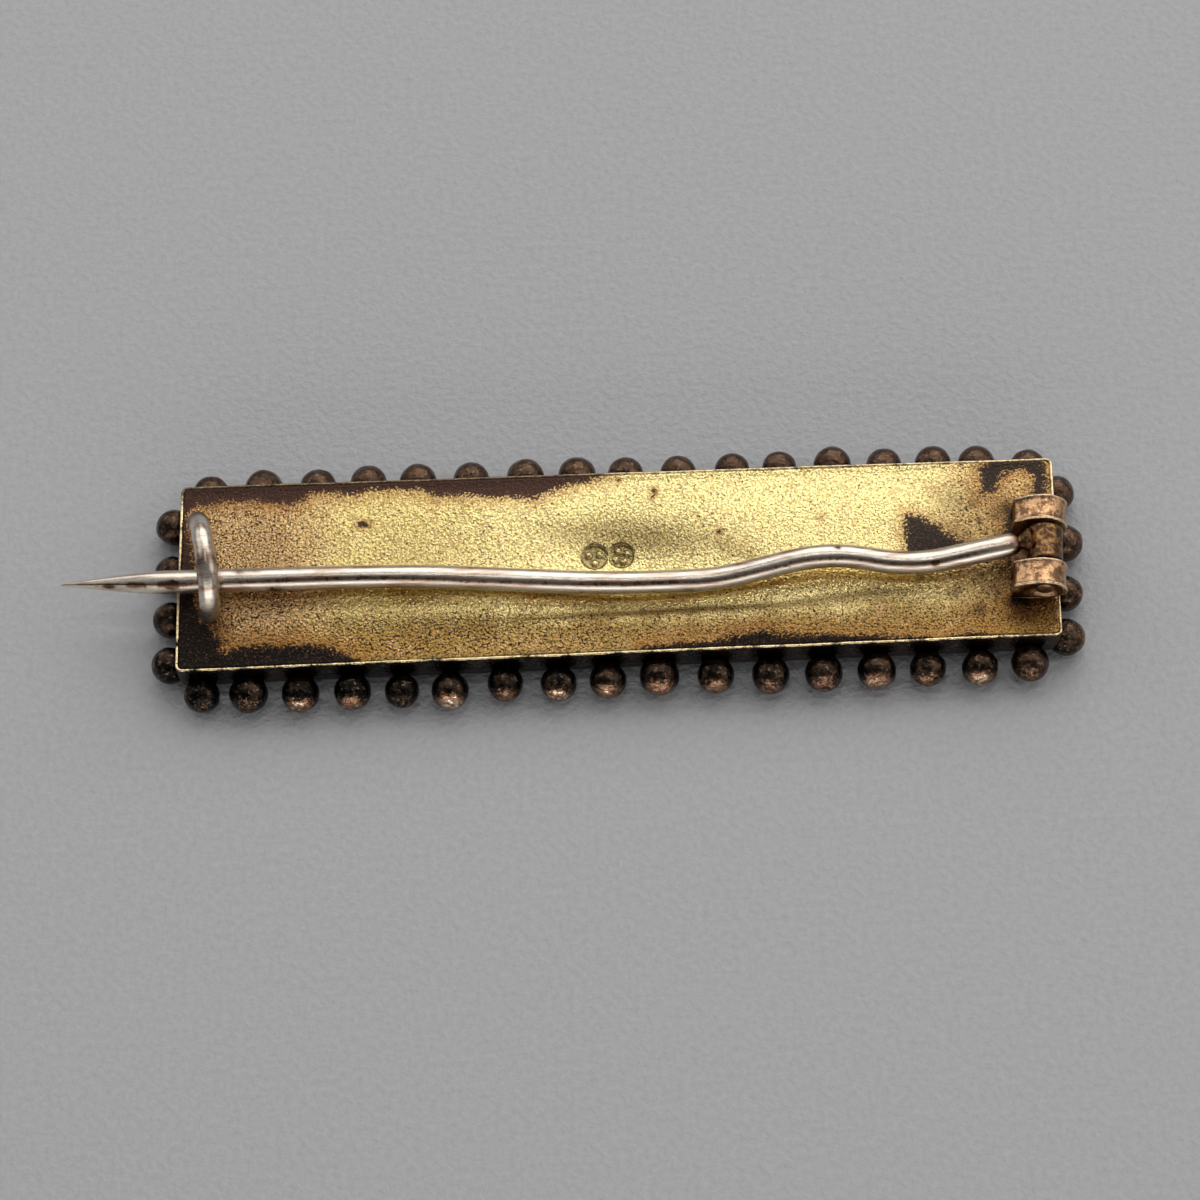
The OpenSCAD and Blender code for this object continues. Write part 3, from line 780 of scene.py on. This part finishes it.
# each row is one ring over a lip: how far it lies in from the end, and how far out from the sheet
lip_rows = [(s * MM, g * MM) for s, g in (
    (0, -0.03), (0.015, 0.045), (0.05, 0.07), (0.1, 0.062), (0.135, 0.025), (0.18, 0.0))]
# two ripples in the hammered ends: how far each goes, and how many go round
end_ripples = [(0.014 * MM, 3), (0.008 * MM, 7)]
recess_taper = 0.02 * MM
waist = 0.012 * MM
leaf_soft = 0.04 * MM
leaf_past = 0.02 * MM
leaf_short = 0.03 * MM
lip_rubbed = 0.12 * MM
rubbed_from = 0.94 * knuckle_r
# the tail of the rolled sheet, out from the top of the tube, over a shoulder and down to the plate
tail = [
    Vector((-0.25, 0.97)) * MM, Vector((-0.8, 0.85)) * MM, Vector((-1.4, 0.58)) * MM,
    Vector((-1.53 * MM, seam - axis_up)), Vector((web_in, seam - axis_up))
]


def on_hinge(out, along, up):
    """The place that is so far out, along and up from the hinge's own middle."""
    return hinge_at + hinge_out * out + hinge_axis * along + Vector((0, 0, up))


def sheet_reach(turn):
    """How far the rolled sheet's outside lies from the axis, in the direction turned up from outwards."""
    ray = Vector((math.cos(turn), math.sin(turn)))
    best = knuckle_r
    for a, b in zip(tail, tail[1:] + [Vector((web_in, 0))]):
        cut = b - a
        across = ray.x * cut.y - ray.y * cut.x
        if abs(across) < 1e-12:
            continue
        reach = (a.x * cut.y - a.y * cut.x) / across
        share = (a.x * ray.y - a.y * ray.x) / across
        if reach > 0 and 0 <= share <= 1:
            best = max(best, reach)
    return best


turns = [2 * math.pi * k / around for k in range(around)]
sharp = np.array([sheet_reach(t) for t in turns])
reaches = sum(w * np.roll(sharp, k) for k, w in ((-1, 0.15), (0, 0.7), (1, 0.15)))


def knuckle_shell(span, seed, recess_near, recess_far):
    """One outer knuckle: rings along the axis, over both lips, into the ends and back through the bore."""
    low, high = span
    recess = [(recess_deep, bore_r), (recess_deep, recess_r - recess_taper), (recess_taper, recess_r)]
    # each row is one ring: where it lies along the axis, its radius or rise, and whether it's on the sheet
    rows = [(low + s, r, False) for s, r in (recess if recess_near else [(0, bore_r)])]
    rows += [(low + s, g, True) for s, g in lip_rows]
    rows += [(low + (high - low) * k / 8, -waist * math.sin(math.pi * k / 8), True) for k in range(2, 7)]
    rows += [(high - s, g, True) for s, g in reversed(lip_rows)]
    rows += [(high - s, r, False) for s, r in reversed(recess if recess_far else [(0, bore_r)])]
    rings = []
    for y, r, on_sheet in rows:
        ring = []
        for reach, turn in zip(reaches, turns):
            from_axis, along = r, y
            if on_sheet:
                from_axis += reach
                for i, (far, count) in enumerate(end_ripples):
                    along += far * math.sin(count * turn + (i + 1) * seed)
            up = max(from_axis * math.sin(turn), seam - axis_up)
            if recess_near and up < end_slope_top and y - low < end_slope_reach:
                down = (end_slope_top - up) / (end_slope_top + axis_up)
                along += end_slope * down * (1 - (y - low) / end_slope_reach)
            ring.append(on_hinge(from_axis * math.cos(turn), along, up))
        rings.append(ring)
    return loft(rings, closed=True)


def leaf_shell():
    """The leaf under the knuckles, with its upper edges softened."""
    left, right = tail[3].x - leaf_past, web_in
    near, far = near_knuckle[0] + end_slope - leaf_short, far_knuckle[1]
    rings = []
    for inset, up in (
        (0, seam), (0, leaf_t - leaf_soft), (0.3 * leaf_soft, leaf_t - 0.3 * leaf_soft), (leaf_soft, leaf_t)
    ):
        rings.append([
            on_hinge(x, y, up - axis_up)
            for x, y in (
                (left + inset, near + inset), (right - inset, near + inset),
                (right - inset, far - inset), (left + inset, far - inset))
        ])
    return loft(rings)


# Copper-rich brass: a pinkish gold with a satin face of fine dings, brighter lips, and brown dirt low over
# the plate, where a cloth never reaches, darkened there also as painted shade.
copper_brass, tree, at_mm = new_finish("copper_brass")
ding, patina = [
    add_node(tree, "ShaderNodeTexNoise", {}, {"Vector": at_mm, "Scale": s, "Detail": d, "Roughness": r})
    for s, d, r in ((2.6, 6, 0.7), (1.7, 7, 0.75))]
where = add_node(tree, "ShaderNodeSeparateXYZ", {}, {"Vector": at_mm})
copper, _ = lay_over(tree, "DCAE82", "60412C", patina, 0.46, 0.58, 0.85)
# darker brown low over the plate: dirt, and painted shade under the knuckles
copper, _ = lay_over(tree, copper, "452C1C", where.outputs["Z"], 3.5, 2.5, 0.75)
rubbed = add_node(tree, "ShaderNodeAttribute", {"attribute_name": "rubbed"})
ding_tops = add_node(tree, "ShaderNodeMapRange", {}, {"Value": ding, "From Min": 0.35, "From Max": 0.55})
rubbed_tops = add_node(tree, "ShaderNodeMath", {"operation": "MULTIPLY"}, {
    0: rubbed.outputs["Fac"], 1: ding_tops})
copper, _ = lay_over(tree, copper, "FCDDB8", rubbed_tops, 0, 1, curve="LINEAR")
copper_rough = add_node(tree, "ShaderNodeMapRange", {}, {
    "Value": ding, "From Min": 0.3, "From Max": 0.7, "To Min": 0.13, "To Max": 0.25})
set_shader(tree, copper, copper_rough, ding, 0.9, 0.06 * MM)

hinge_base = new_piece("hinge_base", [
    knuckle_shell(near_knuckle, 0.6, True, False), knuckle_shell(far_knuckle, 2.4, False, True), leaf_shell()
], copper_brass, "case")
rubbed = []
for vertex in hinge_base.data.vertices:
    along = (vertex.co - hinge_at).dot(hinge_axis)
    out = (vertex.co - hinge_at - hinge_axis * along).length
    from_lip = min(abs(along - end) for end in near_knuckle + far_knuckle)
    rubbed.append(float(from_lip < lip_rubbed and out > rubbed_from and vertex.co.z > hinge_at.z))
hinge_base.data.attributes.new("rubbed", "FLOAT", "POINT").data.foreach_set("value", rubbed)
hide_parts("hinge_bearer")

# The rivet
# A brass wire through all three knuckles, hammered over at each end into a low, dull head.
rivet_short = 0.08 * MM


def lathe(rows, sides=64):
    """Rings turned about the hinge's axis, through rows of place along it and radius."""
    around_axis = [2 * math.pi * k / sides for k in range(sides)]
    return [[on_hinge(r * math.cos(a), y, r * math.sin(a)) for a in around_axis] for y, r in rows]


# Old brass rivet metal: dull brown with small flats from the hammer.
rivet_brass, tree, at_mm = new_finish("rivet_brass")
hammered = add_node(tree, "ShaderNodeTexVoronoi", {}, {"Vector": at_mm, "Scale": 3.4})
brown_brass, _ = lay_over(tree, "A57E60", "54402F", hammered, 0, 1, curve="LINEAR")
set_shader(tree, brown_brass, 0.38, hammered, 0.7, 0.06 * MM)

# each row is one ring of a head: how far it lies in from its end, and its radius
head = [(s * MM, r * MM) for s, r in (
    (0, 0.02), (0.004, 0.14), (0.014, 0.26), (0.035, 0.36), (0.07, 0.42), (0.12, 0.45))]
rivet_low = near_knuckle[0] + rivet_short
rivet_high = far_knuckle[1] - rivet_short
rivet_rows = [(rivet_low + s, r) for s, r in head]
rivet_rows += [(rivet_high - s, r) for s, r in reversed(head)]
rivet = new_piece("rivet", [loft(lathe(rivet_rows))], rivet_brass, "case")
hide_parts("hinge_rivet")

# The middle knuckle
# A short tube of the same sheet that turns on the rivet between the outer knuckles. The stem is soldered
# to it, and the solder has left a dark brown collar. It turns with the pin.
pin_knuckle_r = 0.87 * MM
pin_bore_r = 0.48 * MM
stem_start = Vector((-1.37 * MM + hinge_at.x, -0.57 * MM, plate_z + 1.43 * MM))
# the stem turns a little across the bar and falls a little to the catch. Its wave lies in a tilted plane,
# where it starts a little aside and turned.
stem_turn_deg, stem_fall_deg = 0.1, 0.67
wave_tilt_deg, wave_aside, wave_turn_deg = 30, 0.08 * MM, 10
stem_place = (
    Matrix.Translation(stem_start) @ Matrix.Rotation(math.radians(stem_turn_deg), 4, "Z")
    @ Matrix.Rotation(math.radians(-stem_fall_deg), 4, "Y")
    @ Matrix.Rotation(math.radians(wave_tilt_deg), 4, "X")
    @ Matrix.Translation((0, wave_aside, 0)) @ Matrix.Rotation(math.radians(wave_turn_deg), 4, "Z")
)

# Brass under old soldering scale: dark brown, rubbed to gold in small patches.
scaled_brass, tree, at_mm = new_finish("scaled_brass")
scale_noise = add_node(tree, "ShaderNodeTexNoise", {}, {
    "Vector": at_mm, "Scale": 3.6, "Detail": 6, "Roughness": 0.72})
scaled, _ = lay_over(tree, "50382A", "B98F5C", scale_noise, 0.44, 0.68)
set_shader(tree, scaled, 0.32, scale_noise, 0.6, 0.05 * MM)

# each row is one ring of the tube's rounded edge: how far it lies in from the end, and how far out
edge_rows = [(s * MM, pin_knuckle_r + g * MM) for s, g in (
    (0, -0.05), (0.02, -0.015), (0.06, 0), (0.12, -0.01))]
low, high = middle_knuckle
barrel_rows = [(low, pin_bore_r)] + [(low + s, r) for s, r in edge_rows]
barrel_rows += [(high - s, r) for s, r in reversed(edge_rows)] + [(high, pin_bore_r)]
# each row is one ring of the solder collar: how far it lies behind the stem's end, and its radius
collar_rows = [
    (-0.34, 0.08), (-0.22, 0.16), (-0.05, 0.24), (0.15, 0.32), (0.3, 0.38), (0.42, 0.46), (0.54, 0.54),
    (0.64, 0.6), (0.78, 0.58)
]
wire_turns = [2 * math.pi * k / wire_sides for k in range(wire_sides)]
collar = [
    [stem_place @ (Vector((s, r * math.cos(a), r * math.sin(a))) * MM) for a in wire_turns]
    for s, r in collar_rows
]
pin_barrel = new_piece("pin_barrel", [loft(lathe(barrel_rows), closed=True), loft(collar)],
                       scaled_brass, "pin")
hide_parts("pin_knuckle")

# The stem
# Round nickel silver wire, bent by hand into a shallow wave and filed to a point. Its hinge end was
# beaten a little flat for soldering, and it springs under the hook to close the pin.
stem_r = 0.56 * MM
stem_run = 9.9 * MM
# the point shrinks by this share of the radius, faster towards its tip
point_len = 4.2 * MM
point_share, point_curve = 0.9, 1.15
stem_dome = 0.66 * MM
stem_over = 0.3 * MM
dome_steps = 8
bend_step_deg = 1.0
run_step = 0.4 * MM
# each row is one bend counted from the hinge: the straight run before it, its radius, and its angle,
# positive where the wire turns to the far side
stem_bends = [(3.2, 9, 22.5), (0.3, 9, -24), (2.3, 12, 11.6), (1.2, 60, 4.8), (4.3, 80, -3.9)]
# the file's flats: their count and turn, how deep they are cut, and how far before the point they start and
# over how much of the wire they grow, in millimetres
flats, flats_turn, flats_cut = 6, 0.4, 0.8
flats_before, flats_over = 0.8, 1.2
# the beaten end: how much thinner, over how many millimetres, and the turn of its flats
beaten_share, beaten_reach, beaten_turn = 0.12, 1.3, 0.5
# small dings, one every 3 mm or so: how deep each is, as a share of the radius, and how far it reaches along
# the wire, in millimetres, and round it, in radians
ding_count, ding_from, ding_step, ding_stray = 14, 2.2, 3.05, 0.7
ding_deep, ding_reach, ding_turn = 0.022, 0.5, 0.45
# the turn round the wire, in radians, at which the stem's crown lies
crown_angle = 1.5
# each row is one brown spot: its run from the hinge, how far it lies to the far side of the stem's crown as
# a share of the radius, and its size
stem_spots = [
    (28.1, 0.8, 0.2), (28.1, -0.1, 0.16), (28.0, -0.75, 0.16), (27.3, 0.85, 0.18), (17.4, -0.85, 0.16),
    (16.0, -0.8, 0.16), (37.2, 0.7, 0.2), (36.4, 0.75, 0.16), (35.6, -0.95, 0.3), (40.6, -0.3, 0.3),
    (42.3, -0.2, 0.2), (43.6, -0.5, 0.2), (4.2, -0.3, 0.12), (8.8, 0.7, 0.12)
]


def stem_line():
    """The stem's centre line in its own plane, with its run from the hinge and its share of radius."""
    heading, gone = 0.0, 0.0
    rows = [(Vector((stem_over, 0)), gone, 0.02)]
    for k in range(1, dome_steps + 1):
        a = math.radians(90 * k / dome_steps)
        gone = stem_dome * (1 - math.cos(a))
        rows.append((Vector((stem_over - gone, 0)), gone, math.sin(a)))
    here = Vector((stem_over - gone, 0))

    def straight(length, share_at):
        nonlocal here, gone
        steps = max(1, math.ceil(length / run_step))
        ahead = Vector((-math.cos(heading), math.sin(heading)))
        start, gone_start = here.copy(), gone
        for k in range(1, steps + 1):
            s = length * k / steps
            rows.append((start + ahead * s, gone_start + s, share_at(s / length)))
        here, gone = start + ahead * length, gone_start + length

    for run, radius, turn in stem_bends:
        straight(run * MM + (here.x if heading == 0 else 0), lambda s: 1.0)
        arc = math.copysign(radius * MM, turn)
        aside = Vector((math.sin(heading), math.cos(heading)))
        centre = here + aside * arc
        steps = math.ceil(abs(turn) / bend_step_deg)
        for k in range(1, steps + 1):
            h = heading + math.radians(turn) * k / steps
            here = centre - arc * Vector((math.sin(h), math.cos(h)))
            rows.append((here.copy(), gone + abs(arc) * abs(h - heading), 1.0))
        gone = rows[-1][1]
        heading += math.radians(turn)
    straight(stem_run, lambda s: 1.0)
    straight(point_len, lambda s: 1 - point_share * s ** point_curve)
    return rows


def turned_from(angle, centre):
    """How far an angle lies from another, the short way round, in radians."""
    return np.abs((angle - centre + math.pi) % (2 * math.pi) - math.pi)


rows = stem_line()
stem_path = [stem_place @ Vector((p.x, p.y, 0)) for p, s, share in rows]
path, shares = round_caps(stem_path, [share for p, s, share in rows], stem_r, False, True)
stem_mesh = wire_mesh(path, shares, stem_r)
# each point of the skin: its run from the hinge, and its turn round the centre line
co = np.array([v.co for v in stem_mesh.vertices])
line = np.array(stem_path)
nearest = np.argmin(((co[:, None, :] - line[None, :, :]) ** 2).sum(axis=2), axis=1)
runs = np.array([s for p, s, share in rows]) / MM
run = runs[nearest]
ahead = np.gradient(line, axis=0)[nearest]
ahead /= np.linalg.norm(ahead, axis=1)[:, None]
radial = co - line[nearest]
radial -= (radial * ahead).sum(axis=1)[:, None] * ahead
plane_up = np.array((stem_place.to_3x3() @ Vector((0, 0, 1))).normalized())
angle = np.arctan2((radial * plane_up).sum(axis=1), (radial * np.cross(ahead, plane_up)).sum(axis=1))
filed = np.clip((run - (runs[-1] - point_len / MM - flats_before)) / flats_over, 0, 1)
facet = np.cos(math.pi / flats) / np.cos((angle + flats_turn) % (2 * math.pi / flats) - math.pi / flats)
grow = 1 + filed * flats_cut * (facet - 1)
grow *= 1 - beaten_share * np.exp(-(run / beaten_reach) ** 2) * np.abs(np.sin(angle + beaten_turn)) ** 3
# the sines scatter the dings along the wire and round it
for k in range(ding_count):
    ding_run = ding_from + ding_step * k + ding_stray * math.sin(5.1 * k)
    turned = turned_from(angle, 1.9 * math.sin(2.7 * k + 0.4) + 0.9)
    grow -= ding_deep * np.exp(-((run - ding_run) / ding_reach) ** 2 - (turned / ding_turn) ** 2)
co += radial * (grow - 1)[:, None]
stem_mesh.vertices.foreach_set("co", co.astype(np.float32).ravel())
stem_mesh.update()
# brown by the solder, in the spots, and in a thin streak that wanders along the crown, partly a brown film
# and partly a painted dark reflection
grime_and_shade = 0.9 * np.exp(-(run / 0.45) ** 2)
for at_run, aside, size in stem_spots:
    around_by = turned_from(angle, crown_angle - math.asin(aside)) * stem_r / MM
    grime_and_shade += 0.95 * np.exp(-((run - at_run) ** 2 + around_by ** 2) / size ** 2)
# painted dark reflection, with some brown film, along the crown
film_and_reflection_streak = turned_from(angle, crown_angle + 0.17 - 0.08 * np.sin(run / 2.3))
grime_and_shade += 0.5 * np.exp(-(film_and_reflection_streak / 0.27) ** 2) * np.clip((run - 0.6) / 2, 0, 1)
stem_mesh.attributes.new("grime_and_shade", "FLOAT", "POINT").data.foreach_set("value", grime_and_shade.astype(np.float32))
stem_wire = wire_piece("stem_wire", stem_mesh, "pin")
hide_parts("pin_stem")

# The stage
# A plain pale sheet to lie on, and soft panels of light: a large one beyond the far side, one at each side,
# a long low one in front and a small bright one overhead. The camera looks steeply down over the near side.
floor_half = 1.5
panel_far = 0.6
floor_mesh = bpy.data.meshes.new("floor")
floor_mesh.from_pydata(
    [(-floor_half, -floor_half, 0), (floor_half, -floor_half, 0), (floor_half, floor_half, 0),
     (-floor_half, floor_half, 0)], [], [(0, 1, 2, 3)])
floor = bpy.data.objects.new("floor", floor_mesh)
bpy.context.scene.collection.objects.link(floor)
# Matt card: a pale neutral grey with a faint grain about 0.3 mm across.
pale_card, tree, at_mm = new_finish("pale_card")
card_grain = add_node(tree, "ShaderNodeTexNoise", {}, {
    "Vector": at_mm, "Scale": 3, "Detail": 3, "Roughness": 0.55})
card_grey, _ = lay_over(tree, "AEAEB1", "C6C6C9", card_grain, 0, 1, curve="LINEAR")
set_shader(tree, card_grey, 0.85, card_grain, 1, 0.09 * MM, metallic=0)
floor_mesh.materials.append(pale_card)

scene = bpy.context.scene
scene.view_settings.view_transform = "Standard"
world = bpy.data.worlds.new("studio")
scene.world = world
world.use_nodes = True
air = world.node_tree.nodes["Background"]
air.inputs["Color"].default_value = linear("D4D4D8")
air.inputs["Strength"].default_value = 0.2


def add_panel(name, azimuth, elevation, width, depth, radiance):
    """A soft panel that faces the brooch, from its direction in degrees, its size and its radiance."""
    turn, rise = math.radians(azimuth), math.radians(elevation)
    place = Vector((
        math.sin(turn) * math.cos(rise), math.cos(turn) * math.cos(rise), math.sin(rise))) * panel_far
    light = bpy.data.lights.new(name, "AREA")
    light.shape = "RECTANGLE"
    light.size, light.size_y = width, depth
    light.energy = radiance * math.pi * width * depth
    light.color = linear("FFFEFB")[:3]
    panel = bpy.data.objects.new(name, light)
    panel.location = place
    panel.rotation_mode = "QUATERNION"
    panel.rotation_quaternion = (-place).to_track_quat("-Z", "Y")
    panel.visible_camera = False
    scene.collection.objects.link(panel)


add_panel("window_panel", 16, 45, 0.62, 0.54, 1.85)
add_panel("right_panel", 85, 33, 0.5, 0.45, 1.1)
add_panel("left_panel", -54, 36, 0.5, 0.45, 0.9)
add_panel("front_panel", 180, 12, 1.0, 0.27, 1.9)
add_panel("top_panel", 16, 87, 0.16, 0.07, 6)

camera_aim = Vector((-0.80, -1.50, 1.5)) * MM
camera_far = 202.3 * MM
camera_azimuth = math.radians(7.15)
camera_elevation = math.radians(64.05)
camera_roll = math.radians(-8.56)
camera_focal_px = 4238.6
photo_px = 1200
back = Vector((
    math.sin(camera_azimuth) * math.cos(camera_elevation),
    -math.cos(camera_azimuth) * math.cos(camera_elevation),
    math.sin(camera_elevation)
))
level = (-back).cross(Vector((0, 0, 1))).normalized()
upright = level.cross(-back)
across = math.cos(camera_roll) * level + math.sin(camera_roll) * upright
upward = -math.sin(camera_roll) * level + math.cos(camera_roll) * upright
lens = bpy.data.cameras.new("camera")
lens.sensor_width = 36
lens.lens = camera_focal_px / photo_px * lens.sensor_width
lens.clip_start = 0.01
camera = bpy.data.objects.new("camera", lens)
camera.matrix_world = Matrix.Translation(camera_aim + back * camera_far) @ Matrix(
    (across, upward, back)).transposed().to_4x4()
scene.collection.objects.link(camera)
scene.camera = camera
